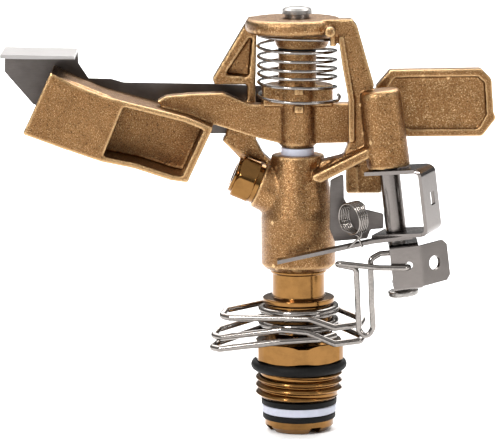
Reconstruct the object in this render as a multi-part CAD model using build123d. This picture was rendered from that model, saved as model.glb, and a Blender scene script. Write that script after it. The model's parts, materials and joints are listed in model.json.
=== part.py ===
from build123d import *
from math import cos, radians, sin, sqrt, tan
import os

# Impact sprinkler with part-circle trip. Millimetres, +Z up along the riser, origin on the
# riser axis at the top of the pipe thread. The arm lies along X with its spoon towards -X.

# Driving dimensions
THREAD_R = 10.6            # crest radius of the 1/2 in pipe thread
THREAD_PITCH = 1.814
THREAD_DEPTH = 1.1
THREAD_END = -6.6          # lower end of the nipple
HEX_FLATS = 20.6
NECK_R = 8.2
NECK_TOP = 16.6
TUBE_R = 5.5               # bearing tube, outside
TUBE_BORE_R = 4.4
RUN_GAP = 0.05             # radial clearance of the running fits
FLANGE_LOW = -14.4
FLANGE_TOP = -11.6
SLEEVE_LOW = 17.0
HUB_R = 9.0
HUB_LOW = 25.2
HUB_SHOULDER = 38.0
BODY_TOP = 53.0
NOZZLE_TILT = 23.0         # degrees above horizontal
NOZZLE_Z = 41.8            # where the jet line leaves the riser axis
NOZZLE_BASE = 10.2         # distances along the jet line
NOZZLE_FACE = 16.8
NOZZLE_FLATS = 10.2
PIN_R = 2.0                # arm pivot pin
ARM_LOW = 54.75
ARM_TOP = 77.9
SEAT_TOP = 69.9
BRIDGE_LOW = 82.4
BRIDGE_TOP = 86.0
ARM_HALF = 2.2             # half thickness of the arm
LEG_NEAR = 2.8             # yoke legs, distance of their inner and outer faces from the XZ plane
LEG_FAR = 8.0
TRIP_TILT = 6.4            # trip axis leans from the vertical
TRIP_X, TRIP_Y, TRIP_Z = 21.6, -7.7, 51.0
TRIP_TURN = -25.0          # the trip bracket faces right and forward
TRIP_PIN_R = 1.9
SHEET = 0.9                # stainless sheet thickness
COLLAR_WIRE_R = 0.65
TRIP_WIRE_R = 0.7


def disc(r, low, high, x=0.0, y=0.0):
    return Pos(x, y, (low + high) / 2) * Cylinder(r, high - low)


def ring(r_out, r_in, low, high):
    return disc(r_out, low, high) - disc(r_in, low - 1, high + 1)


def turned(points):
    return revolve(Plane.XZ * make_face(Polyline(*points, close=True)), Axis.Z)


def slab(points, y_low, y_high, corner=0.0):
    """Plate with its outline in XZ, between two Y planes, with rounded outline corners."""
    face = make_face(Polyline(*points, close=True))
    if corner:
        face = fillet(face.vertices(), corner)
    return extrude(Plane.XZ.offset(-y_high) * face, y_high - y_low)


def soften(shape, edges, radius):
    try:
        return fillet(edges, radius)
    except Exception:
        return shape


def wire(points, radii, r):
    path = FilletPolyline(*points, radius=radii)
    start = Plane(origin=path @ 0, z_dir=path % 0)
    return sweep(start * Circle(r), path=path)


def coil(mean_r, wire_r, low, high, turns):
    height = high - low - 2 * wire_r
    path = Pos(0, 0, low + wire_r) * Helix(height / turns, height, mean_r)
    start = Plane(origin=path @ 0, z_dir=path % 0)
    return sweep(start * Circle(wire_r), path=path, is_frenet=True)


def trip_frame(h=0.0, turn=0.0):
    """Frame on the trip axis, h above its datum, turned about it."""
    return Pos(TRIP_X, TRIP_Y, TRIP_Z) * Rot(0, -TRIP_TILT, 0) * Rot(0, 0, turn) * Pos(0, 0, h)


def jet_frame(s=0.0):
    """Frame whose Z axis runs out along the jet, s from the riser axis."""
    return Pos(0, 0, NOZZLE_Z) * Rot(0, -(90 - NOZZLE_TILT), 0) * Pos(0, 0, s)


def bearing_nipple():
    profile = [(0, THREAD_END), (9.2, THREAD_END), (9.6, THREAD_END + 0.9)]
    crest = THREAD_END + 1.5
    while crest < -0.3:
        profile += [(THREAD_R - THREAD_DEPTH, crest - 0.45), (THREAD_R, crest),
                    (THREAD_R, crest + 0.35), (THREAD_R - THREAD_DEPTH, crest + 0.8)]
        crest += THREAD_PITCH - 0.35
    profile += [(9.1, 0), (9.1, 3.0), (12, 3.0), (12, 7.6), (9.0, 7.6), (9.0, 8.0),
                (NECK_R, 8.0), (NECK_R, NECK_TOP), (0, NECK_TOP)]
    blank = turned(profile)
    hexagon = extrude(Plane.XY.offset(3.0) * RegularPolygon(HEX_FLATS / 2, 6, major_radius=False,
                                                           rotation=35), 4.6)
    crowned = turned([(0, 3.0), (10.4, 3.0), (11.3, 3.5), (11.3, 7.1), (10.4, 7.6), (0, 7.6)])
    blank = blank - (disc(14, 3.0, 7.6) - (hexagon & crowned))
    bore = disc(TUBE_R + RUN_GAP, THREAD_END - 1, 5)
    return blank - bore - disc(7.2, 4.0, NECK_TOP + 1)


def washer(r, low, high, bore=TUBE_R + 0.15):
    body = ring(r, bore, low, high)
    return soften(body, body.edges().filter_by(GeomType.CIRCLE).sort_by(SortBy.RADIUS)[-2:], 0.3)


def bearing_tube():
    flange = turned([(0, FLANGE_LOW), (7.2, FLANGE_LOW), (8.4, FLANGE_LOW + 1.2),
                     (8.4, FLANGE_TOP), (TUBE_R, FLANGE_TOP), (TUBE_R, 31.0), (0, 31.0)])
    slot = Pos(0, 0, FLANGE_LOW) * Box(20, 2.8, 3.0)
    return (flange - disc(TUBE_BORE_R, FLANGE_LOW - 1, 32) - Rot(0, 0, -62) * slot
            - Rot(0, 0, 28) * slot)


def spring_sleeve():
    body = turned([(TUBE_R + 0.1, SLEEVE_LOW), (8.7, SLEEVE_LOW), (8.7, SLEEVE_LOW + 1.2),
                   (6.4, SLEEVE_LOW + 1.5), (6.4, 24.2), (6.9, 24.4), (6.9, HUB_LOW),
                   (TUBE_R + 0.1, HUB_LOW)])
    return body


def legs():
    """The yoke's two legs: a pocketed gusset behind the arm and a plain one in front of it."""
    left = slab([(-6.0, 85.8), (-6.0, 84.0), (-9.6, 82.3), (-9.8, 76), (-10.1, 66),
                 (-10.0, 56), (-8.2, 52.5), (-5.5, 50), (-5.5, 45.5), (-8.8, 48.6),
                 (-13.4, 50.6), (-16.3, 54.1), (-18.2, 56.0), (-17.4, 57.2), (-16.4, 60.5), (-16.4, 64.2), (-12.1, 65.6),
                 (-12.0, 69.5), (-20.0, 69.7), (-20.4, 71.0), (-11.6, 85.6)],
                LEG_NEAR, LEG_FAR, 0.35)
    window = slab([(-17.3, 72.0), (-11.7, 71.5), (-11.2, 76.5), (-10.6, 82.0)],
                  LEG_NEAR - 1, LEG_NEAR + 3.0, 0.4)
    right = slab([(5.6, 86.2), (5.6, 84.0), (9.6, 82.3), (10.6, 75), (12.0, 67),
                  (12.1, 57), (10.7, 53.6), (5.4, 52.3), (4.0, 47.5), (9.5, 49.4),
                  (17.2, 53.5), (17.6, 60), (17.2, 68.6),
                  (18.2, 70.4), (14.2, 84.6), (13.0, 86.2)], -LEG_FAR, -LEG_NEAR, 0.35)
    bead = slab([(9.6, 82.2), (10.6, 75), (12.0, 67), (12.1, 57), (13.4, 57), (13.4, 67.2),
                 (12.0, 75.4), (10.9, 82.2)], -LEG_FAR - 0.7, -LEG_FAR + 0.5, 0.3)
    return left - window + right + bead


def trip_boss():
    """Rounded block, slightly wider at its lower end, that holds the trip pin."""
    low = trip_frame() * RectangleRounded(10.3, 9.7, 4.2)
    high = trip_frame(18.6) * RectangleRounded(9.5, 9.3, 3.9)
    block = loft([low, high])
    return soften(block, block.faces().sort_by(Axis.Z)[-1].edges(), 1.3)


def sprinkler_body():
    skirt = turned([(0, HUB_LOW), (7.8, HUB_LOW), (HUB_R, HUB_LOW + 1.2), (HUB_R, HUB_SHOULDER),
                    (0, HUB_SHOULDER)])
    top = Plane.XY.offset(BODY_TOP) * Ellipse(6.3, 6.0)
    neck = loft([Plane.XY.offset(HUB_SHOULDER) * Circle(HUB_R), top])
    boss = jet_frame() * Cone(6.6, 5.7, NOZZLE_BASE, align=(Align.CENTER, Align.CENTER, Align.MIN))
    bridge = disc(11.6, BRIDGE_LOW, BRIDGE_TOP, -0.8)
    bridge = soften(bridge, bridge.edges().filter_by(GeomType.CIRCLE), 1.3)
    underside = loft([Plane.XY.offset(78.9) * Pos(1.1, 0) * Circle(6.0),
                      Plane.XY.offset(BRIDGE_LOW + 0.5) * Pos(1.3, 0) * Circle(7.6)])
    bar = slab([(3.3, 49.4), (3.6, 48.2), (5.1, 47.6), (16.6, 53.3), (16.6, 55.9)],
               -11.4, -8.6, 0.4)
    web = slab([(3.4, 49.4), (3.8, 47.9), (6.6, 49.4), (16.6, 54.2), (16.6, 56), (9, 53)],
               -9.0, -3.4, 0.3)
    anchor = Pos(7.6, -9.4, 83.6) * Rot(90, 0, 0) * Cylinder(1.25, 4.0)
    peg = disc(0.8, 79.8, BRIDGE_LOW + 0.5, 8.4, -7.4)
    body = skirt + neck + boss + bridge + underside + legs() + trip_boss() + bar + web
    body += anchor + peg
    low = (Align.CENTER, Align.CENTER, Align.MIN)
    body -= disc(TUBE_R + 0.02, HUB_LOW - 1, 31.0)
    body -= disc(5.0, 30.5, 43.5)
    body -= jet_frame(2) * Cylinder(3.62, 14, align=low)
    body -= jet_frame(NOZZLE_BASE) * Cylinder(5.75, 14, align=low)
    body -= disc(PIN_R + 0.02, 47.0, BRIDGE_TOP + 2)
    body -= trip_frame() * Pos(0, 0, 6) * Cylinder(TRIP_PIN_R + 0.02, 14)
    body -= Pos(-13.2, 0, 61.5) * Rot(90, 0, 0) * Cylinder(1.55, 20)
    return body


def nozzle():
    low = (Align.CENTER, Align.CENTER, Align.MIN)
    shank = Pos(0, 0, 5.2) * Cylinder(3.6, NOZZLE_BASE - 5.0, align=low)
    foot = Pos(0, 0, NOZZLE_BASE + 0.05) * Cylinder(4.7, 1.2, align=low)
    hexagon = extrude(Pos(0, 0, NOZZLE_BASE + 1.0) * RegularPolygon(NOZZLE_FLATS / 2, 6,
                                                                   major_radius=False, rotation=8), 4.9)
    hexagon = hexagon & (Pos(0, 0, NOZZLE_BASE + 1.0) * Cylinder(5.6, 4.9, align=low))
    lip = Pos(0, 0, NOZZLE_BASE + 5.8) * Cylinder(4.3, NOZZLE_FACE - NOZZLE_BASE - 5.8, align=low)
    hole = Pos(0, 0, 4) * Cylinder(2.1, 20, align=low)
    mouth = Pos(0, 0, NOZZLE_FACE - 1.6) * Cone(2.1, 2.9, 1.7, align=low)
    return jet_frame() * (shank + foot + hexagon + lip - hole - mouth)


def spoon():
    """Curved plates above and below the jet, an outer vane, an inner vane and an end bar."""
    upper = [(-20.3, 60.6), (-26.5, 63.2), (-32.8, 64.9), (-41.0, 67.0), (-46.7, 68.6),
             (-52.7, 71.0), (-58.7, 74.2)]
    lower = [(-65.6, 59.4), (-56.4, 55.9), (-47.0, 52.6), (-39.4, 51.0), (-34.3, 49.3),
             (-30.5, 48.0), (-26.4, 47.4)]
    rim = 1.3
    top = slab(upper + [(x - 0.5, z - rim) for x, z in reversed(upper)], -8, 8, 0.2)
    bottom = slab(lower + [(x + 0.5, z + rim) for x, z in reversed(lower)], -8, 8, 0.2)
    outer = slab([(-41.2, 66.6)] + upper[4:] + lower[:2] + [(-46.9, 53.0)], -8, -6.2, 0.2)
    for k in range(6):
        a, b = 0.2 + 0.13 * k, 0.2 + 0.13 * (k + 1)
        step = slab([(-47 - 18.2 * a, 52.8 + 6.8 * a), (-47 - 18.2 * b, 52.8 + 6.8 * b),
                     (-41 - 17.4 * b, 66.8 + 7.0 * b), (-41 - 17.4 * a, 66.8 + 7.0 * a)],
                    -6.4, -6.0 + 2.4 * a * a)
        outer += step
    inner = slab([(-27.6, 48.6), (-47.4, 53.4), (-41.6, 66.0), (-21.4, 60.0)], 3.4, 5.4, 0.2)
    bar = slab([(-26.4, 47.6), (-28.2, 48.0), (-22.1, 60.9), (-20.3, 60.4)], -8, 6, 0.2)
    return top + bottom + outer + inner + bar


def impact_arm():
    hub = turned([(0, ARM_LOW), (3.8, ARM_LOW), (4.6, ARM_LOW + 0.9), (4.6, ARM_TOP),
                  (0, ARM_TOP)])
    seat = disc(8.6, 65.0, SEAT_TOP) - Pos(0, -9, 67) * Box(20, 12.4, 8)
    beam = slab([(-34.0, 66.2), (-31.5, 67.5), (-25.5, 68.0), (-17.8, 68.2), (-11.5, 65.4),
                 (-5.4, 65.4), (12, 65.4), (20, 69), (23, 62), (21, 57.2), (12.3, 55.9),
                 (4.4, 55.8), (-4.8, 56.0), (-10.5, 57.5), (-20.6, 60.8), (-29, 63.6)],
                -ARM_HALF, ARM_HALF, 0.35)
    weight = [(18.4, 66), (18.8, 69.5), (22.2, 73.4), (44.0, 73.5), (46.5, 71.0), (47.0, 63.0),
              (47.6, 61.6), (44.3, 57.3), (27.0, 57.3), (18, 58)]
    panel = [(21.2, 66), (21.4, 69.0), (23.2, 71.6), (43.2, 71.7), (44.8, 70.2), (45.3, 62.6),
             (43.4, 59.1), (27.4, 59.1), (21.0, 60.4)]
    plate = slab(weight, -ARM_HALF, ARM_HALF, 0.6)
    plate = plate - slab(panel, -ARM_HALF - 1, -ARM_HALF + 0.9, 0.5)
    plate = plate - slab(panel, ARM_HALF - 0.9, ARM_HALF + 1, 0.5)
    lug = slab([(11.6, 43.4), (20.2, 43.4), (20.4, 47.6), (18.8, 58), (12.2, 58), (11.5, 47.6)],
               -0.4, 3.4, 0.4)
    step = slab([(11.6, 43.6), (14.4, 43.6), (14.4, 50), (11.6, 50)], -1.0, 1.0, 0.3)
    body = hub + beam + plate + lug + step + spoon() + seat
    for z in (64.6, 69.0):
        body += Pos(0.2, -5.6, z) * Box(2.2, 2.8, 1.7)
    return body - disc(3.02, ARM_LOW - 1, ARM_TOP + 1)


def pivot_pin():
    stem = disc(PIN_R, 47.2, BRIDGE_TOP + 0.1)
    head = turned([(0, BRIDGE_TOP + 0.05), (2.9, BRIDGE_TOP + 0.05), (2.9, BRIDGE_TOP + 0.8),
                   (3.6, BRIDGE_TOP + 1.0), (3.6, BRIDGE_TOP + 1.9), (3.1, BRIDGE_TOP + 2.4),
                   (1.8, BRIDGE_TOP + 2.7), (0, BRIDGE_TOP + 2.8)])
    return stem + head


def arm_spring():
    return coil(9.3, 0.4, 65.7, BRIDGE_LOW - 0.1, 6.6)


def deflector_plate():
    near, far = LEG_FAR + 0.35, LEG_FAR + 0.35 + SHEET
    face = slab([(-70.6, 78.5), (-53.0, 78.0), (-52.9, 74.4), (-50.5, 70.7), (-45.0, 70.5),
                 (-42.0, 69.6), (-20.4, 69.1), (-6, 68.4), (-6, 57.0), (-22, 57.0), (-50, 58.2),
                 (-64.1, 64.6), (-70.8, 72.5)], near, far, 0.3)
    lip = slab([(-70.6, 77.6), (-70.6, 78.5), (-53.0, 78.0), (-53.0, 77.1)], -8, far)
    return face + lip - Pos(-13.2, 0, 61.5) * Rot(90, 0, 0) * Cylinder(1.6, 40)


def deflector_rivet():
    stem = Cylinder(1.5, 7.9)
    head = Pos(0, 0, -4.55) * Cone(2.6, 2.9, 1.2)
    lie = Pos(-13.2, 0, 61.5) * Rot(90, 0, 0)
    return lie * Pos(0, 0, -6.9) * (stem + head)


def deflector_washer():
    gap = LEG_FAR + 0.35 + SHEET + 0.05
    tube = Pos(-13.2, gap + 0.35, 61.5) * Rot(90, 0, 0) * (Cylinder(2.9, 0.7) - Cylinder(1.52, 2))
    return tube


def trip_pin():
    low = (Align.CENTER, Align.CENTER, Align.MAX)
    stem = Pos(0, 0, 12) * Cylinder(TRIP_PIN_R, 12 + 30.2, align=low)
    head = Pos(0, 0, -30.0) * Cylinder(3.7, 1.5, align=low)
    head = soften(head, head.edges().filter_by(GeomType.CIRCLE), 0.5)
    return trip_frame() * (stem + head)


def trip_tube():
    length = 14.2
    tube = Cylinder(2.5, length) - Cylinder(TRIP_PIN_R + RUN_GAP, length + 1)
    return trip_frame(-1.35 - length / 2) * tube


def folded(length, height, width, bend):
    """C-shaped channel of sheet, open towards -X, centred on its own frame, folds along Y."""
    outer = RectangleRounded(length * 2, height, bend)
    inner = RectangleRounded(length * 2 - 2 * SHEET, height - 2 * SHEET, bend - SHEET)
    cut = Pos(-length, 0) * Rectangle(length * 2, height + 2)
    return Rot(90, 0, 0) * extrude(outer - inner - cut, width / 2, both=True)


def trip_bracket():
    """Top plate, strap and bottom plate folded from one sheet, with a long striker tongue."""
    channel = Pos(-4.4, -0.5, -8.45) * folded(14.6, 16.2, 9, 1.9)
    corner = Pos(9.75, -0.5, -8.45) * Box(2.6, 9, 16.2)
    corner = corner - fillet((Pos(9.75, -0.5, -8.45) * Box(6, 9, 17.0)).edges().filter_by(Axis.X), 1.6)
    slot = Pos(9.75, 0.4, -8.2) * Box(4, 2.4, 3.2)
    holes = Pos(0, 0, -8) * Cylinder(TRIP_PIN_R + RUN_GAP, 30)
    channel = trip_frame(0, TRIP_TURN) * (channel - corner - slot - holes)
    tongue = slab([(27.0, 35.3), (17.5, 34.2), (-5.2, 29.4), (-5.2, 28.5), (17.5, 33.3),
                   (27.0, 34.4)], -13.8, -10.6)
    return channel + tongue


def trip_plate():
    outline = [(7.6, 47.8), (10.8, 49.4), (10.9, 43.4), (11.6, 42.0), (15.5, 40.8),
               (20.3, 39.6), (20.3, 36.0), (17.2, 35.8), (16.4, 33.6), (8.6, 33.0), (7.4, 36)]
    return slab(outline, TRIP_Y - 0.45, TRIP_Y + 0.45, 0.5)


def trip_spring():
    body = coil(3.7, 0.24, -1.5, 1.5, 5.0)
    lie = Pos(13.1, -13.1, 39.2) * Rot(0, 0, 37) * Rot(0, 84, 0)
    return lie * body


def wire_bracket():
    """Channel that turns on the trip pin, open at the back, with an ear for the wire."""
    channel = Pos(1.2, 4.9, -23.8) * Rot(0, 0, -90) * folded(11.0, 11.1, 7.0, 1.6)
    plan = FilletPolyline((-2.3, -5.65), (5.0, -5.65), (11.4, -0.7), radius=1.2)
    wall = Pos(0, 0, -28.7) * extrude(trace(plan, SHEET), 9.8)
    end = Pos(11.0, -1.0, -23.8) * Rot(0, 0, 37.7) * Rot(90, 0, 0)
    frame = extrude(Rectangle(8, 14) - chamfer(Rectangle(5, 9.8).vertices(), 1.2), 4, both=True)
    corners = end * (Pos(-2.0, 0, 0) * frame) & Pos(11.6, -1.0, -23.8) * Box(4.6, 8, 12)
    hole = Pos(7.9, -3.4, -23.8) * Rot(0, 0, 37.7) * Rot(90, 0, 0) * Cylinder(1.7, 4)
    eye = Pos(1.9, -5.65, -23.4) * Rot(90, 0, 0) * Cylinder(0.95, 3)
    holes = Pos(0, 0, -23) * Cylinder(TRIP_PIN_R + RUN_GAP, 30)
    return trip_frame() * (channel + wall - corners - hole - eye - holes)


def trip_wire():
    y = -14.65
    points = [(25.6, y, 27.6), (19.0, y - 0.2, 27.7), (9.2, y - 0.2, 28.9), (9.8, y + 1.6, 27.9),
              (13.6, y + 1.8, 27.2), (13.9, y + 1.8, 20.0), (14.3, y + 1.9, 12.4),
              (15.9, y + 1.9, 9.8), (17.6, y + 1.9, 12.8), (17.2, y + 1.4, 20.0),
              (17.0, y + 0.9, 29.6), (20.4, y + 1.0, 30.6)]
    return wire(points, [0.9, 0.8, 0.9, 1.1, 3.0, 1.3, 1.3, 1.3, 3.0, 1.0], TRIP_WIRE_R)


def collar(rings, tabs):
    body = None
    for z in rings:
        hoop = Pos(0, 0, z) * Torus(NECK_R + 0.15 + COLLAR_WIRE_R, COLLAR_WIRE_R)
        body = hoop if body is None else body + hoop
    for points, radii in tabs:
        body += wire(points, radii, COLLAR_WIRE_R)
    return body


def friction_collar_upper():
    left = [(-7.0, 5.4, 15.9), (-18.4, -3.4, 15.0), (-18.0, -5.6, 14.3), (-3.0, -8.9, 14.4)]
    right = [(-1.0, -8.95, 15.5), (8.5, -9.8, 12.2), (15.2, -7.2, 13.4), (7.6, 4.6, 15.5)]
    return collar((15.75, 14.35), ((left, [1.2, 1.2]), (right, [6.0, 1.4])))


def friction_collar_lower():
    left = [(-7.0, 5.4, 11.3), (-20.2, -2.6, 9.6), (-20.4, -4.8, 9.2), (-3.0, -8.9, 10.4)]
    drop = [(-8.2, -3.4, 9.6), (-20.6, -6.2, 7.4), (-20.4, -8.6, 7.2), (-2.2, -9.0, 9.4)]
    right = [(-1.0, -8.95, 10.9), (8.5, -9.8, 8.8), (15.2, -7.2, 8.7), (7.6, 4.6, 10.9)]
    return collar((11.2, 9.8), ((left, [1.2, 1.2]), (drop, [1.2, 1.2]), (right, [6.0, 1.4])))


PARTS = {
    "bearing_nipple": bearing_nipple(),
    "thread_o_ring": Pos(0, 0, 1.55) * Torus(10.4, 1.25),
    "bearing_washer_upper": washer(9.2, -8.1, THREAD_END),
    "bearing_washer_middle": washer(9.05, -10.05, -8.1),
    "bearing_washer_lower": washer(8.9, FLANGE_TOP, -10.1),
    "bearing_tube": bearing_tube(),
    "bearing_spring": coil(6.35, 0.5, 4.1, SLEEVE_LOW - 0.05, 5),
    "spring_sleeve": spring_sleeve(),
    "friction_collar_upper": friction_collar_upper(),
    "friction_collar_lower": friction_collar_lower(),
    "sprinkler_body": sprinkler_body(),
    "nozzle": nozzle(),
    "impact_arm": impact_arm(),
    "arm_bushing": ring(3.0, PIN_R + RUN_GAP, ARM_LOW + 0.1, ARM_TOP - 0.1),
    "arm_washer_lower": ring(4.0, PIN_R + 0.1, BODY_TOP + 0.03, ARM_LOW - 0.1),
    "arm_washer_upper": ring(4.6, PIN_R + 0.1, ARM_TOP + 0.1, 78.85),
    "pivot_pin": pivot_pin(),
    "arm_spring": arm_spring(),
    "deflector_plate": deflector_plate(),
    "deflector_rivet": deflector_rivet(),
    "deflector_washer": deflector_washer(),
    "trip_pin": trip_pin(),
    "trip_tube": trip_tube(),
    "trip_bracket": trip_bracket(),
    "trip_plate": trip_plate(),
    "trip_spring": trip_spring(),
    "wire_bracket": wire_bracket(),
    "trip_wire": trip_wire(),
}

os.makedirs("parts", exist_ok=True)
for name, shape in PARTS.items():
    export_step(shape, os.path.join("parts", name + ".step"))
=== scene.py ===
"""Looks of the impact sprinkler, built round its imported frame. Sizes are in metres, +Z up the riser."""

import json
import math

import bmesh
import bpy
from bpy.props import FloatProperty, FloatVectorProperty, IntProperty, PointerProperty
from mathutils import Matrix, Vector


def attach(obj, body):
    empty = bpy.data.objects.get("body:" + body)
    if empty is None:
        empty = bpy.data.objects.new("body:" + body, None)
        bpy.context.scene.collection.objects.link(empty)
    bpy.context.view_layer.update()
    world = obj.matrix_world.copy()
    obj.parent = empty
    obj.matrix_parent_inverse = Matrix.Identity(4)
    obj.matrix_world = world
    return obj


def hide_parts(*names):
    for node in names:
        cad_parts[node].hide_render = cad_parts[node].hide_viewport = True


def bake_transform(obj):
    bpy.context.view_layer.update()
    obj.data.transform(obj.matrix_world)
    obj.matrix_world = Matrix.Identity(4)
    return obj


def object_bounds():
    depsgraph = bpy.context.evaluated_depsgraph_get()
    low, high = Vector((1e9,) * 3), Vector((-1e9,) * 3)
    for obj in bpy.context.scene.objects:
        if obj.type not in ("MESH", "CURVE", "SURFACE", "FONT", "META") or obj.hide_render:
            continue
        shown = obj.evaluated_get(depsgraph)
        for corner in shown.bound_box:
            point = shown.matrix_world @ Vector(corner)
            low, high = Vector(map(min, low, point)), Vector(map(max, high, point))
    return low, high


bl_info = {
    "name": "Impact Sprinkler",
    "version": (1, 0, 0),
    "blender": (4, 5, 0),
    "location": "View3D > Sidebar > Sprinkler",
    "description": "Builds the castings, springs, wires and sheet parts of an impact sprinkler",
    "category": "Object",
}

MM = 0.001
ARC_STEP = 10.0  # degrees between the points of an arc
EDGE_WIDTH = 0.2 * MM  # bevel on the sheet and turned parts
LIP_HEIGHT = 77.3 * MM  # the deflector's lip gets a painted highlight above this
# Colour of the painted highlight on the deflector lip's upper surface.
LIP_PAINTED_HIGHLIGHT = (0.42, 0.40, 0.39)
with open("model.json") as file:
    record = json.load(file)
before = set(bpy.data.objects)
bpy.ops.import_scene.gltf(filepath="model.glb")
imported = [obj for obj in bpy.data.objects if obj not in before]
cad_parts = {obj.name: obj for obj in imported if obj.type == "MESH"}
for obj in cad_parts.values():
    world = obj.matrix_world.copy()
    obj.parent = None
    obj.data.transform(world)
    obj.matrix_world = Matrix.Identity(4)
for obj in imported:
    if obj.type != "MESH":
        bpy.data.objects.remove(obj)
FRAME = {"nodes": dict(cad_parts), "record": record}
NODES = FRAME["nodes"]
CAD_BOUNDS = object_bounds()
NODE_BODY = {
    node: body
    for body, nodes in FRAME["record"]["behaviour"]["bodies"].items()
    for node in nodes
}
NODE_SLOT = {s["node"]: s["material_slot"] for s in FRAME["record"]["subparts"]}


# ---------------------------------------------------------------- settings


def length(name, description, default):
    """A size property, given and stored in metres."""
    return FloatProperty(name=name, description=description, default=default, unit="LENGTH", precision=5)


def colour(name, description, default):
    """A colour property."""
    return FloatVectorProperty(name=name, description=description, default=default, size=3,
                               min=0.0, max=1.0, subtype="COLOR")


class CastingSettings(bpy.types.PropertyGroup):
    grid: length("Casting grid", "Edge length of the skin that rounds the castings", 0.31 * MM)
    rounding: IntProperty(name="Rounding", description="Smoothing passes over a casting", default=4)
    grain: length("Sand grain", "Size of the grain that the sand mould leaves", 0.44 * MM)


class ThreadSettings(bpy.types.PropertyGroup):
    crest: length("Crest radius", "Radius of the pipe thread's crests", 10.6 * MM)
    depth: length("Thread depth", "Depth of the pipe thread", 1.15 * MM)
    pitch: length("Thread pitch", "Rise of the thread in one turn", 1.814 * MM)


class FinishSettings(bpy.types.PropertyGroup):
    cast: colour("Cast brass", "Colour of the tumbled castings", (0.225, 0.112, 0.044))
    # Dark colour of the castings: the grain's pits, and the painted shade in the creases.
    cast_dark: colour("Cast brass, hollows", "Colour in the hollows", (0.060, 0.027, 0.010))
    # Bright colour of the castings: painted glints on the grains and the painted highlight on the convex
    # edges.
    cast_bright: colour("Cast brass, grains", "Colour of the rubbed grains", (0.95, 0.66, 0.34))
    brass: colour("Machined brass", "Colour of the turned parts", (0.225, 0.113, 0.036))
    steel: colour("Stainless sheet", "Colour of the folded brackets", (0.165, 0.148, 0.138))
    dark_steel: colour("Dull stainless", "Colour of the deflector and trip plate", (0.115, 0.102, 0.095))
    wire: colour("Spring wire", "Colour of the springs and clips", (0.29, 0.265, 0.245))
    rubber: colour("Rubber", "Colour of the seals", (0.004, 0.0038, 0.0036))
    plastic: colour("White washers", "Colour of the slip washers", (0.50, 0.50, 0.58))


class SprinklerSettings(bpy.types.PropertyGroup):
    casting: PointerProperty(type=CastingSettings)
    thread: PointerProperty(type=ThreadSettings)
    finish: PointerProperty(type=FinishSettings)


def settings():
    """The scene's own settings, which every finish and piece reads."""
    return bpy.context.scene.sprinkler


# ---------------------------------------------------------------- node maths


class Term:
    """A node socket that takes part in a Python expression and adds its Math nodes."""

    def __init__(self, graph, socket):
        self.graph = graph
        self.socket = socket

    def maths(self, operation, *values):
        return self.graph.node("ShaderNodeMath", {"operation": operation}, *values)

    def __add__(self, other):
        return self.maths("ADD", self, other)

    def __sub__(self, other):
        return self.maths("SUBTRACT", self, other)

    def __mul__(self, other):
        return self.maths("MULTIPLY", self, other)

    def __truediv__(self, other):
        return self.maths("DIVIDE", self, other)

    def __rsub__(self, other):
        return self.maths("SUBTRACT", other, self)

    __radd__ = __add__

    def power(self, exponent):
        return self.maths("POWER", self, exponent)

    def clamp(self):
        return self.graph.node("ShaderNodeClamp", {}, self)

    def between(self, low, high):
        """0 at low and below, 1 at high and above."""
        return ((self - low) / (high - low)).clamp()


class Graph:
    """A node tree that is filled by one method."""

    def __init__(self, tree):
        self.tree = tree

    def node(self, kind, options, *values, out=0, **named):
        """Adds a node: its settings first, then the values or links of its sockets."""
        made = self.tree.nodes.new(kind)
        for key, value in options.items():
            setattr(made, key, value)
        for index, value in enumerate(values):
            self.feed(made.inputs[index], value)
        for key, value in named.items():
            self.feed(made.inputs[key.replace("_", " ")], value)
        return Term(self, made.outputs[out])

    def feed(self, socket, value):
        if isinstance(value, Term):
            self.tree.links.new(value.socket, socket)
        elif value is not None:
            socket.default_value = value

    def mix(self, factor, first, second):
        """Colour mix. Sockets 6 and 7 are the colour inputs and output 2 the colour result."""
        made = self.tree.nodes.new("ShaderNodeMix")
        made.data_type = "RGBA"
        self.feed(made.inputs[0], factor)
        self.feed(made.inputs[6], first if isinstance(first, Term) else (*first, 1))
        self.feed(made.inputs[7], second if isinstance(second, Term) else (*second, 1))
        return Term(self, made.outputs[2])

    def noise(self, place, size, detail, roughness):
        """Noise whose features are about size metres wide, from 0 to 1."""
        return self.node("ShaderNodeTexNoise", {}, Vector=place, Scale=1.0 / size, Detail=detail,
                         Roughness=roughness)

    def stretched(self, place, scale):
        return self.node("ShaderNodeMapping", {}, Vector=place, Scale=scale)


class Finish(Graph):
    """A material with one Principled shader."""

    def __init__(self, name):
        self.material = bpy.data.materials.new(name)
        self.material.use_nodes = True
        super().__init__(self.material.node_tree)
        self.shader = self.tree.nodes["Principled BSDF"]
        self.place = self.node("ShaderNodeTexCoord", {}, out="Object")

    def set(self, **values):
        for key, value in values.items():
            if isinstance(value, tuple) and len(value) == 3:
                value = (*value, 1)
            self.feed(self.shader.inputs[key.replace("_", " ")], value)

    def bump(self, height, distance, strength):
        made = self.node("ShaderNodeBump", {}, Strength=strength, Distance=distance, Height=height)
        self.feed(self.shader.inputs["Normal"], made)


def shade(value, factor):
    """A colour made darker or lighter by a factor."""
    return tuple(min(1.0, v * factor) for v in value)


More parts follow.
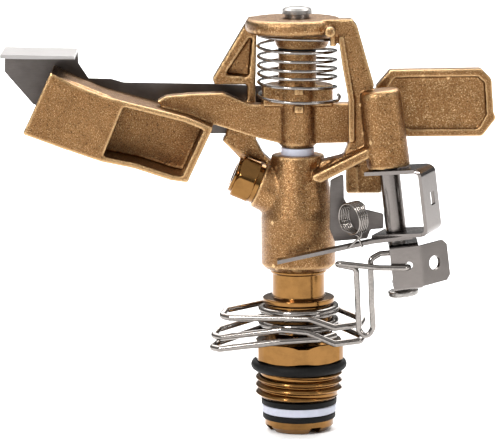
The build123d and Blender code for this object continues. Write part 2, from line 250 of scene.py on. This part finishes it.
def cast_brass():
    """Tumbled sand casting: fine grains over brown, dark in their pits and with painted glints, a painted
    highlight on the convex edges and painted shade in the creases.
    """
    colours, grain = settings().finish, settings().casting.grain
    f = Finish("cast_brass")
    fine = f.noise(f.place, grain, 3, 0.7)
    sparkle = f.noise(f.place, grain * 0.55, 2, 0.8)
    patches = f.noise(f.place, 5 * MM, 3, 0.6)
    pits = f.noise(f.place, 0.8 * MM, 2, 0.5)
    edge = f.node("ShaderNodeNewGeometry", {}, out="Pointiness")
    base = f.mix(patches.between(0.3, 0.7), shade(colours.cast, 0.86), shade(colours.cast, 1.12))
    # Patches where the painted glints are stronger and the dark pits fainter.
    glinting = f.noise(f.place, 2.4 * MM, 2, 0.5).between(0.35, 0.62)
    base = f.mix(fine.between(0.52, 0.30) * (1.0 - glinting * 0.45), base, tuple(colours.cast_dark))
    # Painted glints on the grains.
    base = f.mix(sparkle.between(0.55, 0.70) * (glinting * 0.4 + 0.5), base, tuple(colours.cast_bright))
    # Painted highlight on the convex edges of the casting.
    base = f.mix(edge.between(0.505, 0.56) * 0.55, base, tuple(colours.cast_bright))
    # Painted shade in the concave creases of the casting.
    base = f.mix(edge.between(0.495, 0.44) * 0.55, base, tuple(colours.cast_dark))
    f.set(Base_Color=base, Metallic=1.0, Roughness=fine * 0.14 + 0.22)
    f.bump(fine * 0.9 + sparkle * 0.4 + pits * 0.5, 0.13 * MM, 1.0)
    return f.material


def turned_brass():
    """Machined brass with fine lathe rings and slight tarnish."""
    colours = settings().finish
    f = Finish("machined_brass")
    rings = f.noise(f.stretched(f.place, (60, 60, 9000)), 1.0, 2, 0.6)
    tarnish = f.noise(f.place, 3 * MM, 3, 0.6)
    base = f.mix(tarnish.between(0.42, 0.75), tuple(colours.brass), shade(colours.brass, 0.72))
    base = f.mix(rings.between(0.55, 0.8) * 0.35, base, shade(colours.brass, 1.25))
    f.set(Base_Color=base, Metallic=1.0, Roughness=rings * 0.1 + tarnish * 0.1 + 0.07)
    f.bump(rings, 0.012 * MM, 0.6)
    return f.material


def sheet_steel(name, base_colour, roughness, lip_height=None):
    """Rolled stainless sheet with fine drawn lines and faint smudges, with a painted highlight above a
    height.
    """
    f = Finish(name)
    lines = f.noise(f.stretched(f.place, (500, 4000, 9000)), 1.0, 3, 0.6)
    smudge = f.noise(f.place, 4 * MM, 3, 0.6)
    base = f.mix(smudge.between(0.35, 0.7), tuple(base_colour), shade(base_colour, 1.2))
    base = f.mix(lines.between(0.45, 0.75) * 0.4, base, shade(base_colour, 0.8))
    if lip_height:
        height = f.node("ShaderNodeSeparateXYZ", {}, f.place, out=2)
        # Above the given height the colour turns to the painted highlight on the lip's upper surface.
        base = f.mix(height.between(lip_height, lip_height + 0.2 * MM), base, LIP_PAINTED_HIGHLIGHT)
    f.set(Base_Color=base, Metallic=1.0, Roughness=lines * 0.12 + smudge * 0.12 + roughness)
    f.bump(lines, 0.02 * MM, 0.5)
    return f.material


def spring_wire():
    """Drawn wire with faint dull patches."""
    colours = settings().finish
    f = Finish("spring_wire")
    draw = f.noise(f.place, 0.5 * MM, 2, 0.5)
    base = f.mix(draw.between(0.35, 0.7), tuple(colours.wire), shade(colours.wire, 0.75))
    f.set(Base_Color=base, Metallic=1.0, Roughness=0.14 + draw * 0.12)
    f.bump(draw, 0.01 * MM, 0.4)
    return f.material


def nickel():
    """Plated pin head with light scuffs."""
    f = Finish("nickel")
    scuff = f.noise(f.place, 0.6 * MM, 3, 0.6)
    f.set(Base_Color=f.mix(scuff.between(0.4, 0.7), (0.36, 0.34, 0.32), (0.24, 0.225, 0.21)),
          Metallic=1.0, Roughness=scuff * 0.16 + 0.24)
    f.bump(scuff, 0.01 * MM, 0.4)
    return f.material


def rubber():
    """Black seal rubber with a little dust."""
    colours = settings().finish
    f = Finish("rubber")
    dust = f.noise(f.place, 0.5 * MM, 3, 0.7)
    f.set(Base_Color=f.mix(dust.between(0.55, 0.85), tuple(colours.rubber), (0.022, 0.021, 0.02)),
          Roughness=dust * 0.2 + 0.48, Specular_IOR_Level=0.14)
    f.bump(dust, 0.03 * MM, 0.4)
    return f.material


def white_plastic():
    """White slip washer, slightly cloudy."""
    colours = settings().finish
    f = Finish("white_plastic")
    cloud = f.noise(f.place, 1.5 * MM, 2, 0.5)
    f.set(Base_Color=f.mix(cloud.between(0.3, 0.8), tuple(colours.plastic), shade(colours.plastic, 0.88)),
          Roughness=0.42 + cloud * 0.1, Subsurface_Weight=0.08)
    f.bump(cloud, 0.02 * MM, 0.3)
    return f.material


def make_finishes():
    colours = settings().finish
    return {
        "cast_brass": cast_brass(),
        "machined_brass": turned_brass(),
        "stainless": sheet_steel("stainless", colours.steel, 0.11),
        "dark_stainless": sheet_steel("dark_stainless", colours.dark_steel, 0.26, LIP_HEIGHT),
        "spring_wire": spring_wire(),
        "nickel": nickel(),
        "rubber": rubber(),
        "white_plastic": white_plastic(),
    }


FINISHES = {}  # filled by main()


# ---------------------------------------------------------------- mesh helpers


def add_object(name, mesh):
    piece = bpy.data.objects.new(name, mesh)
    bpy.context.scene.collection.objects.link(piece)
    return piece


def from_bmesh(name, work):
    mesh = bpy.data.meshes.new(name)
    work.to_mesh(mesh)
    work.free()
    return add_object(name, mesh)


def merged_copy(node, name):
    """A copy of a CAD node with its loose triangles joined into one skin."""
    work = bmesh.new()
    work.from_mesh(NODES[node].data)
    bmesh.ops.remove_doubles(work, verts=work.verts, dist=0.002 * MM)
    return from_bmesh(name, work)


def apply_modifiers(piece):
    """Turns the evaluated piece into a plain mesh and removes its modifiers."""
    graph = bpy.context.evaluated_depsgraph_get()
    mesh = bpy.data.meshes.new_from_object(piece.evaluated_get(graph))
    piece.modifiers.clear()
    piece.data = mesh
    return piece


def finish_piece(piece, slot, body, *replaced):
    """Gives a piece its material, body and slot, and lets it stand for CAD nodes."""
    piece.data.materials.clear()
    piece.data.materials.append(FINISHES[slot])
    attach(piece, body)
    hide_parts(*replaced)


def soft_edges(piece, angle):
    """Smooth shading that stays sharp where faces meet at more than an angle in degrees."""
    piece.data.shade_smooth()
    piece.data.set_sharp_from_angle(angle=math.radians(angle))


def even_normals(piece):
    """Lets wide faces set the shading, so that only the narrow edge strips look round."""
    weighted = piece.modifiers.new("normals", "WEIGHTED_NORMAL")
    weighted.keep_sharp = True
    apply_modifiers(piece)


def cast_skin(piece, grid, passes):
    """Remeshes a piece and smooths it, so that its edges are as round as a casting's."""
    skin = piece.modifiers.new("skin", "REMESH")
    skin.mode = "VOXEL"
    skin.voxel_size = grid
    relax = piece.modifiers.new("relax", "SMOOTH")
    relax.factor = 0.5
    relax.iterations = passes
    apply_modifiers(piece)
    piece.data.shade_smooth()


def rolled_edges(node, width):
    """A copy of a CAD node whose sharp edges are broken by a small bevel."""
    piece = merged_copy(node, node + "_finished")
    work = bmesh.new()
    work.from_mesh(piece.data)
    bmesh.ops.dissolve_limit(work, angle_limit=math.radians(1.0), verts=work.verts, edges=work.edges)
    work.to_mesh(piece.data)
    work.free()
    bevel = piece.modifiers.new("edge", "BEVEL")
    bevel.width = width
    bevel.segments = 2
    bevel.limit_method = "ANGLE"
    bevel.angle_limit = math.radians(32)
    bevel.use_clamp_overlap = True
    apply_modifiers(piece)
    soft_edges(piece, 34)
    even_normals(piece)
    finish_piece(piece, NODE_SLOT[node], NODE_BODY[node], node)


def lathe(name, profile, columns=96, matrix=None, half_flats=None, turn=0.0):
    """Turns a closed outline of (radius, height) in mm, cut to a hexagon where a point asks for it."""
    work = bmesh.new()
    rows = []
    for radius, height, *hexed in profile:
        row = []
        for column in range(columns):
            angle = 2 * math.pi * column / columns
            reach = radius
            if hexed:
                off = (angle - turn + math.pi / 6) % (math.pi / 3) - math.pi / 6
                reach = min(radius, half_flats / math.cos(off))
            row.append(work.verts.new((reach * math.cos(angle) * MM, reach * math.sin(angle) * MM,
                                       height * MM)))
        rows.append(row)
    for row, following in zip(rows, rows[1:] + rows[:1]):
        for a in range(columns):
            b = (a + 1) % columns
            work.faces.new((row[a], row[b], following[b], following[a]))
    bmesh.ops.recalc_face_normals(work, faces=work.faces)
    if matrix:
        work.transform(matrix)
    piece = from_bmesh(name, work)
    soft_edges(piece, 30)
    return piece


def joined(name, *pieces):
    """One piece from several, all at the origin."""
    work = bmesh.new()
    for piece in pieces:
        work.from_mesh(piece.data)
        bpy.data.objects.remove(piece)
    return from_bmesh(name, work)


def polyline(name, points):
    """An open chain of edges through points given in mm."""
    mesh = bpy.data.meshes.new(name)
    mesh.from_pydata([Vector(p) * MM for p in points], [(i, i + 1) for i in range(len(points) - 1)], [])
    return add_object(name, mesh)


def arc(radius, start, end, low, high):
    """Points in mm round the Z axis, from one angle in degrees to another, rising evenly."""
    count = max(2, round(abs(end - start) / ARC_STEP))
    points = []
    for i in range(count + 1):
        angle = math.radians(start + (end - start) * i / count)
        points.append(Vector((radius * math.cos(angle), radius * math.sin(angle),
                              low + (high - low) * i / count)))
    return points


# ---------------------------------------------------------------- Geometry Nodes trees


THREAD_TURN = math.pi / 2  # turns the thread's section so that its ridge faces outward


def new_tree(name, sockets):
    """A tree with named inputs; returns its graph and the inputs as terms."""
    tree = bpy.data.node_groups.new(name, "GeometryNodeTree")
    tree.interface.new_socket("Geometry", in_out="INPUT", socket_type="NodeSocketGeometry")
    for label, kind in sockets:
        tree.interface.new_socket(label, in_out="INPUT", socket_type="NodeSocket" + kind)
    tree.interface.new_socket("Material", in_out="INPUT", socket_type="NodeSocketMaterial")
    tree.interface.new_socket("Geometry", in_out="OUTPUT", socket_type="NodeSocketGeometry")
    graph = Graph(tree)
    group = tree.nodes.new("NodeGroupInput")
    return graph, {out.name: Term(graph, out) for out in group.outputs if out.name}


def close_tree(graph, mesh, values):
    """Ends a tree in smooth shading, real geometry and its material."""
    smooth = graph.node("GeometryNodeSetShadeSmooth", {}, mesh)
    real = graph.node("GeometryNodeRealizeInstances", {}, smooth)
    done = graph.node("GeometryNodeSetMaterial", {}, real, Material=values["Material"])
    out = graph.tree.nodes.new("NodeGroupOutput")
    graph.feed(out.inputs[0], done)
    return graph.tree


def wire_tree():
    """Round wire along a chain of edges, with rounded bends and closed ends."""
    graph, values = new_tree("bent wire", (("Wire radius", "Float"), ("Bend radius", "Float"),
                                           ("Sides", "Int")))
    path = graph.node("GeometryNodeMeshToCurve", {}, values["Geometry"])
    path = graph.node("GeometryNodeFilletCurve", {"mode": "POLY"}, path, Radius=values["Bend radius"],
                      Limit_Radius=True, Count=8)
    section = graph.node("GeometryNodeCurvePrimitiveCircle", {}, Resolution=values["Sides"],
                         Radius=values["Wire radius"])
    mesh = graph.node("GeometryNodeCurveToMesh", {}, path, section, Fill_Caps=True)
    return close_tree(graph, mesh, values)


def coil_tree():
    """Compression spring: open turns between closed turns at both ends."""
    graph, values = new_tree("coil spring", (("Coil radius", "Float"), ("Wire radius", "Float"),
                                             ("Height", "Float"), ("Turns", "Float"),
                                             ("Closed turns", "Float"), ("Sides", "Int")))
    turns = values["Turns"]
    path = graph.node("GeometryNodeCurveSpiral", {}, Resolution=48, Rotations=turns,
                      Start_Radius=values["Coil radius"], End_Radius=values["Coil radius"], Height=0.0)
    t = graph.node("GeometryNodeSplineParameter", {})
    closed = values["Closed turns"] / turns
    stack = values["Closed turns"] * values["Wire radius"] * 2.0
    start = (t / closed).clamp() * stack
    end = ((t - 1.0 + closed) / closed).clamp() * stack
    middle = ((t - closed) / (1.0 - closed * 2.0)).clamp() * (values["Height"] - stack * 2.0)
    lift = graph.node("ShaderNodeCombineXYZ", {}, Z=start + middle + end)
    path = graph.node("GeometryNodeSetPosition", {}, path, Offset=lift)
    section = graph.node("GeometryNodeCurvePrimitiveCircle", {}, Resolution=values["Sides"],
                         Radius=values["Wire radius"])
    mesh = graph.node("GeometryNodeCurveToMesh", {}, path, section, Fill_Caps=True)
    return close_tree(graph, mesh, values)


def thread_tree():
    """Screw thread: a tapered ridge swept along a helix, running out at both ends."""
    graph, values = new_tree("screw thread", (("Root radius", "Float"), ("Depth", "Float"),
                                              ("Pitch", "Float"), ("Turns", "Float"),
                                              ("Bottom", "Float")))
    turns = values["Turns"]
    path = graph.node("GeometryNodeCurveSpiral", {}, Resolution=96, Rotations=turns,
                      Start_Radius=values["Root radius"], End_Radius=values["Root radius"],
                      Height=turns * values["Pitch"])
    lift = graph.node("ShaderNodeCombineXYZ", {}, Z=values["Bottom"])
    path = graph.node("GeometryNodeSetPosition", {}, path, Offset=lift)
    path = graph.node("GeometryNodeSetCurveNormal", {"mode": "Z_UP"}, path)
    t = graph.node("GeometryNodeSplineParameter", {}) * turns
    fade = (t / 0.3).clamp() * ((turns - t) / 0.3).clamp()
    section = graph.node("GeometryNodeCurvePrimitiveQuadrilateral", {"mode": "TRAPEZOID"},
                         Height=values["Depth"] * 2.0, Bottom_Width=values["Pitch"] * 1.72,
                         Top_Width=values["Pitch"] * 0.14, Offset=0.0)
    turned = graph.node("GeometryNodeTransform", {}, section, Rotation=(0, 0, THREAD_TURN))
    mesh = graph.node("GeometryNodeCurveToMesh", {}, path, turned, Scale=fade * 0.96 + 0.04,
                      Fill_Caps=True)
    return close_tree(graph, mesh, values)


TREES = {}  # filled by main()


def grow(piece, tree_name, slot, **inputs):
    """Runs a tree on a piece with the given inputs and keeps the result as a plain mesh."""
    tree = TREES[tree_name]
    modifier = piece.modifiers.new(tree_name, "NODES")
    modifier.node_group = tree
    values = {key.replace("_", " "): value for key, value in inputs.items()}
    values["Material"] = FINISHES[slot]
    for item in tree.interface.items_tree:
        if item.in_out == "INPUT" and item.name in values:
            modifier[item.identifier] = values[item.name]
    return apply_modifiers(piece)


def bent_wire(name, points, radius, bend, sides=16):
    """Spring wire of a radius through points, all in mm, with bends of a radius in mm."""
    return grow(polyline(name, points), "bent wire", "spring_wire", Wire_radius=radius * MM,
                Bend_radius=bend * MM, Sides=sides)


def jet_frame():
    """Frame on the riser axis whose Z axis runs out along the jet."""
    lean = Matrix.Rotation(math.radians(-67.0), 4, "Y")
    return Matrix.Translation((0, 0, 41.8 * MM)) @ lean


# ---------------------------------------------------------------- operators


class SPRINKLER_OT_castings(bpy.types.Operator):
    """Round the cast body and the cast arm"""
    bl_idname = "sprinkler.castings"
    bl_label = "Castings"

    def execute(self, context):
        values = settings().casting
        for node in ("sprinkler_body", "impact_arm"):
            piece = merged_copy(node, node + "_casting")
            cast_skin(piece, values.grid, values.rounding)
            finish_piece(piece, "cast_brass", NODE_BODY[node], node)
        return {"FINISHED"}


class SPRINKLER_OT_plain_parts(bpy.types.Operator):
    """Give the CAD parts that keep their shape their finishes"""
    bl_idname = "sprinkler.plain_parts"
    bl_label = "Plain parts"

    def execute(self, context):
        for node, piece in NODES.items():
            piece.data.materials.clear()
            piece.data.materials.append(FINISHES[NODE_SLOT[node]])
        return {"FINISHED"}


class SPRINKLER_OT_nipple(bpy.types.Operator):
    """Cut the pipe thread on the bearing nipple"""
    bl_idname = "sprinkler.nipple"
    bl_label = "Bearing nipple"

    def execute(self, context):
        thread = settings().thread
        bore, chamfer = 5.6, 9.0
        upper = merged_copy("bearing_nipple", "nipple_upper")
        work = bmesh.new()
        work.from_mesh(upper.data)
        bmesh.ops.bisect_plane(work, geom=work.verts[:] + work.edges[:] + work.faces[:],
                               plane_co=(0, 0, 0.4 * MM), plane_no=(0, 0, 1), clear_inner=True)
        work.to_mesh(upper.data)
        work.free()
        root = (thread.crest - thread.depth) / MM
        core = lathe("nipple_core", [(bore, -6.6), (chamfer, -6.6), (root, -6.1), (root, -0.2),
                                     (chamfer, 0.3), (chamfer, 0.6), (bore, 0.6)], 128)
        ridge = grow(add_object("nipple_thread", bpy.data.meshes.new("nipple_thread")), "screw thread",
                     "machined_brass", Root_radius=thread.crest - thread.depth, Depth=thread.depth,
                     Pitch=thread.pitch, Turns=3.45, Bottom=-6.0 * MM)
        soft_edges(upper, 12)
        piece = joined("nipple_threaded", upper, core, ridge)
        finish_piece(piece, "machined_brass", "riser_nipple", "bearing_nipple")
        return {"FINISHED"}


class SPRINKLER_OT_springs(bpy.types.Operator):
    """Wind the arm spring, the trip spring and the bearing spring"""
    bl_idname = "sprinkler.springs"
    bl_label = "Springs"

    def execute(self, context):
        coil = 9.35
        crossings = (81.7, 78.5, 76.3, 74.1, 72.2, 70.1, 66.6)
        points = [Vector((-6.4, 2.6, 82.6)), Vector((-8.6, 0.6, 82.1))]
        points += arc(coil, 190, 260, 82.0, 81.75)
        for high, low in zip(crossings, crossings[1:]):
            points += arc(coil, -90, 260, high, low)
        points += arc(coil, -80, -20, 66.5, 66.25)
        points += [Vector(p) for p in ((9.6, -2.9, 66.3), (10.2, -2.8, 67.3), (9.4, -2.7, 67.9))]
        piece = bent_wire("arm_spring_wound", points, 0.4, 0.5)
        piece.data.materials.clear()
        piece.data.materials.append(FINISHES["spring_wire"])
        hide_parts("arm_spring")
        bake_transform(piece)

        seat = (Matrix.Translation(Vector((13.1, -12.8, 39.4)) * MM)
                @ Matrix.Rotation(math.radians(37), 4, "Z") @ Matrix.Rotation(math.radians(84), 4, "Y"))
        coil, first, turns, half = 3.75, 40, 5.5, 1.6
        loops = [seat @ (p * MM) / MM for p in arc(coil, first, first + turns * 360, -half, half)]
        start = [Vector((15.0, -14.2, 32.6)), Vector((14.0, -14.3, 35.4))]
        end = [Vector((14.6, -14.5, 35.2)), Vector((11.6, -14.3, 32.4))]
        piece = bent_wire("trip_spring_wound", start + loops + end, 0.25, 0.3, sides=12)
        finish_piece(piece, "spring_wire", NODE_BODY["trip_spring"], "trip_spring")

        piece = grow(add_object("bearing_spring_wound", bpy.data.meshes.new("bearing_spring_wound")),
                     "coil spring", "spring_wire", Coil_radius=6.35 * MM, Wire_radius=0.5 * MM,
                     Height=11.8 * MM, Turns=6.5, Closed_turns=1.0, Sides=12)
        piece.data.transform(Matrix.Translation((0, 0, 4.6 * MM)))
        finish_piece(piece, "spring_wire", NODE_BODY["bearing_spring"], "bearing_spring")
        return {"FINISHED"}


class SPRINKLER_OT_clips(bpy.types.Operator):
    """Bend the two friction collars and the trip wire"""
    bl_idname = "sprinkler.clips"
    bl_label = "Collars and trip wire"

    def execute(self, context):
        around, thick = 9.05, 0.8
        upper = arc(around, -500, 146, 14.6, 16.0)
        upper += [Vector(p) for p in ((-17.6, -1.6, 15.2), (-18.6, -4.6, 14.4), (-16.6, -6.2, 14.2),
                                      (2.4, -10.2, 14.5), (8.4, -10.6, 12.4), (14.6, -8.6, 12.9),
                                      (15.4, -6.2, 13.5), (7.6, 5.0, 14.9))]
        upper += arc(around, 40, 165, 14.9, 14.5)
        piece = bent_wire("collar_upper_bent", upper, thick, 1.0)
        finish_piece(piece, "spring_wire", "collar_upper", "friction_collar_upper")

        lower = arc(around, -500, 146, 10.9, 12.8)
        lower += [Vector(p) for p in ((-19.4, -1.4, 10.4), (-20.7, -4.2, 9.5), (-18.8, -6.0, 9.3),
                                      (-4.4, -9.9, 11.8), (2.0, -10.3, 11.2), (8.4, -10.6, 8.5),
                                      (14.6, -8.6, 8.8), (15.4, -6.2, 9.3), (7.6, 5.0, 10.9))]
        lower += arc(around, 40, 155, 10.9, 10.0)
        lower += [Vector(p) for p in ((-19.6, -4.0, 7.6), (-21.0, -7.0, 7.1), (-19.2, -8.9, 7.1),
                                      (-4.6, -10.8, 9.1), (5.0, -10.4, 9.6), (8.6, -6.6, 9.9))]
        piece = bent_wire("collar_lower_bent", lower, thick, 1.0)
        finish_piece(piece, "spring_wire", "collar_lower", "friction_collar_lower")

        front = -14.85
        points = [(26.0, -13.3, 27.6), (25.6, front, 27.6), (19.0, front, 27.7), (9.0, front, 28.9),
                  (9.3, -13.2, 28.2), (13.6, -12.9, 27.3), (13.9, -12.8, 20.0), (14.2, -12.7, 12.4),
                  (15.9, -12.7, 9.7), (17.6, -12.7, 12.8), (17.2, -13.2, 20.0), (17.0, -12.9, 29.5),
                  (19.2, -12.0, 30.6), (23.0, -11.9, 30.9)]
        piece = bent_wire("trip_wire_bent", [Vector(p) for p in points], 0.7, 1.3)
        finish_piece(piece, "spring_wire", "wire", "trip_wire")
        return {"FINISHED"}


class SPRINKLER_OT_sheets(bpy.types.Operator):
    """Break the edges of the folded sheet parts, the rivet and the turned parts"""
    bl_idname = "sprinkler.sheets"
    bl_label = "Sheet parts"

    def execute(self, context):
        for node in ("trip_bracket", "wire_bracket", "trip_plate", "deflector_plate", "deflector_rivet",
                     "deflector_washer", "trip_tube", "spring_sleeve", "bearing_tube"):
            rolled_edges(node, EDGE_WIDTH)
        return {"FINISHED"}


class SPRINKLER_OT_nozzle(bpy.types.Operator):
    """Turn the nozzle with its hexagon and rim"""
    bl_idname = "sprinkler.nozzle"
    bl_label = "Nozzle"

    def execute(self, context):
        profile = [(2.1, 5.3), (3.55, 5.3), (3.55, 10.3), (5.0, 10.3), (5.0, 11.3)]
        crown = [(5.1, 11.35), (5.3, 11.45), (5.45, 11.6), (5.6, 11.8), (5.6, 15.4), (5.45, 15.65),
                 (5.3, 15.85), (5.1, 16.0)]
        profile += [(r, z, True) for r, z in crown]
        profile += [(4.7, 16.0), (4.3, 16.15), (4.3, 16.6), (4.1, 16.8), (3.1, 16.8), (2.8, 16.6),
                    (2.1, 15.3)]
        half_flats, turn = 5.1, math.radians(8)
        piece = lathe("nozzle_turned", profile, 144, jet_frame(), half_flats, turn)
        finish_piece(piece, "machined_brass", NODE_BODY["nozzle"], "nozzle")
        return {"FINISHED"}


class SPRINKLER_OT_stage(bpy.types.Operator):
    """Add the floor, the lights and the camera"""
    bl_idname = "sprinkler.stage"
    bl_label = "Stage"

    def execute(self, context):
        scene = context.scene
        low = Vector(CAD_BOUNDS[0])
        work = bmesh.new()
        bmesh.ops.create_grid(work, x_segments=1, y_segments=1, size=3.0)
        bmesh.ops.translate(work, verts=work.verts, vec=(0, 0, low.z - 0.2 * MM))
        floor = from_bmesh("floor", work)
        pale = Finish("pale_floor")
        pale.set(Base_Color=(0.95, 0.95, 0.95), Roughness=1.0, Specular_IOR_Level=0.0)
        floor.data.materials.append(pale.material)
        scene.view_settings.view_transform = "Standard"

        world = bpy.data.worlds.new("studio")
        scene.world = world
        world.use_nodes = True
        sky = Graph(world.node_tree)
        up = sky.node("ShaderNodeSeparateXYZ", {}, sky.node("ShaderNodeTexCoord", {}, out="Generated"), out=2)
        horizon, rise, falloff = 0.10, 0.85, 1.1
        glow = up.between(0.0, 1.0).power(falloff) * rise + horizon
        back = world.node_tree.nodes["Background"]
        back.inputs[0].default_value = (1, 1, 1, 1)
        sky.feed(back.inputs[1], glow)

        aim = Vector((0, 0, 40 * MM))
        add_light("key", (-0.42, -0.60, 0.55), aim, 0.16, 6.0)
        add_light("fill", (0.62, -0.40, 0.28), aim, 0.12, 1.0)
        add_light("table", (0, 0.72, 0.8), Vector((0, 0.72, 0)), 1.3, 27.0)
        add_camera(scene)
        return {"FINISHED"}


def add_light(name, place, aim, size, power):
    data = bpy.data.lights.new(name, "AREA")
    data.shape = "SQUARE"
    data.size = size
    data.energy = power
    lamp = bpy.data.objects.new(name, data)
    lamp.location = place
    lamp.rotation_euler = (aim - Vector(place)).to_track_quat("-Z", "Y").to_euler()
    bpy.context.scene.collection.objects.link(lamp)


def add_camera(scene):
    """A long lens, a little above the sprinkler, with the riser right of centre."""
    target = Vector((-11.98, 0, 37.12)) * MM
    distance, tilt, roll = 0.8, math.radians(9.5), math.radians(-0.45)
    forward = Vector((0, math.cos(tilt), -math.sin(tilt)))
    right = Vector((1, 0, 0))
    up = right.cross(forward)
    right, up = (math.cos(roll) * right + math.sin(roll) * up,
                 -math.sin(roll) * right + math.cos(roll) * up)
    data = bpy.data.cameras.new("camera")
    data.lens = 239.9
    data.sensor_width = 36.0
    data.clip_start = 0.05
    camera = bpy.data.objects.new("camera", data)
    turn = Matrix((right, up, -forward)).transposed().to_4x4()
    camera.matrix_world = Matrix.Translation(target - forward * distance) @ turn
    scene.collection.objects.link(camera)
    scene.camera = camera


class SPRINKLER_PT_panel(bpy.types.Panel):
    """Sidebar panel with one button for each group of pieces"""
    bl_label = "Impact Sprinkler"
    bl_space_type = "VIEW_3D"
    bl_region_type = "UI"
    bl_category = "Sprinkler"

    def draw(self, context):
        for operator in OPERATORS:
            self.layout.operator(operator.bl_idname)


SETTINGS = (CastingSettings, ThreadSettings, FinishSettings, SprinklerSettings)
OPERATORS = (SPRINKLER_OT_plain_parts, SPRINKLER_OT_castings, SPRINKLER_OT_nipple, SPRINKLER_OT_springs,
             SPRINKLER_OT_clips, SPRINKLER_OT_sheets, SPRINKLER_OT_nozzle, SPRINKLER_OT_stage)
CLASSES = SETTINGS + OPERATORS + (SPRINKLER_PT_panel,)


def register():
    for cls in CLASSES:
        bpy.utils.register_class(cls)
    bpy.types.Scene.sprinkler = PointerProperty(type=SprinklerSettings)


def unregister():
    del bpy.types.Scene.sprinkler
    for cls in reversed(CLASSES):
        bpy.utils.unregister_class(cls)


def main():
    register()
    FINISHES.update(make_finishes())
    TREES.update({"bent wire": wire_tree(), "coil spring": coil_tree(), "screw thread": thread_tree()})
    for operator in OPERATORS:
        group, name = operator.bl_idname.split(".")
        getattr(getattr(bpy.ops, group), name)()


if __name__ == "__main__":
    main()
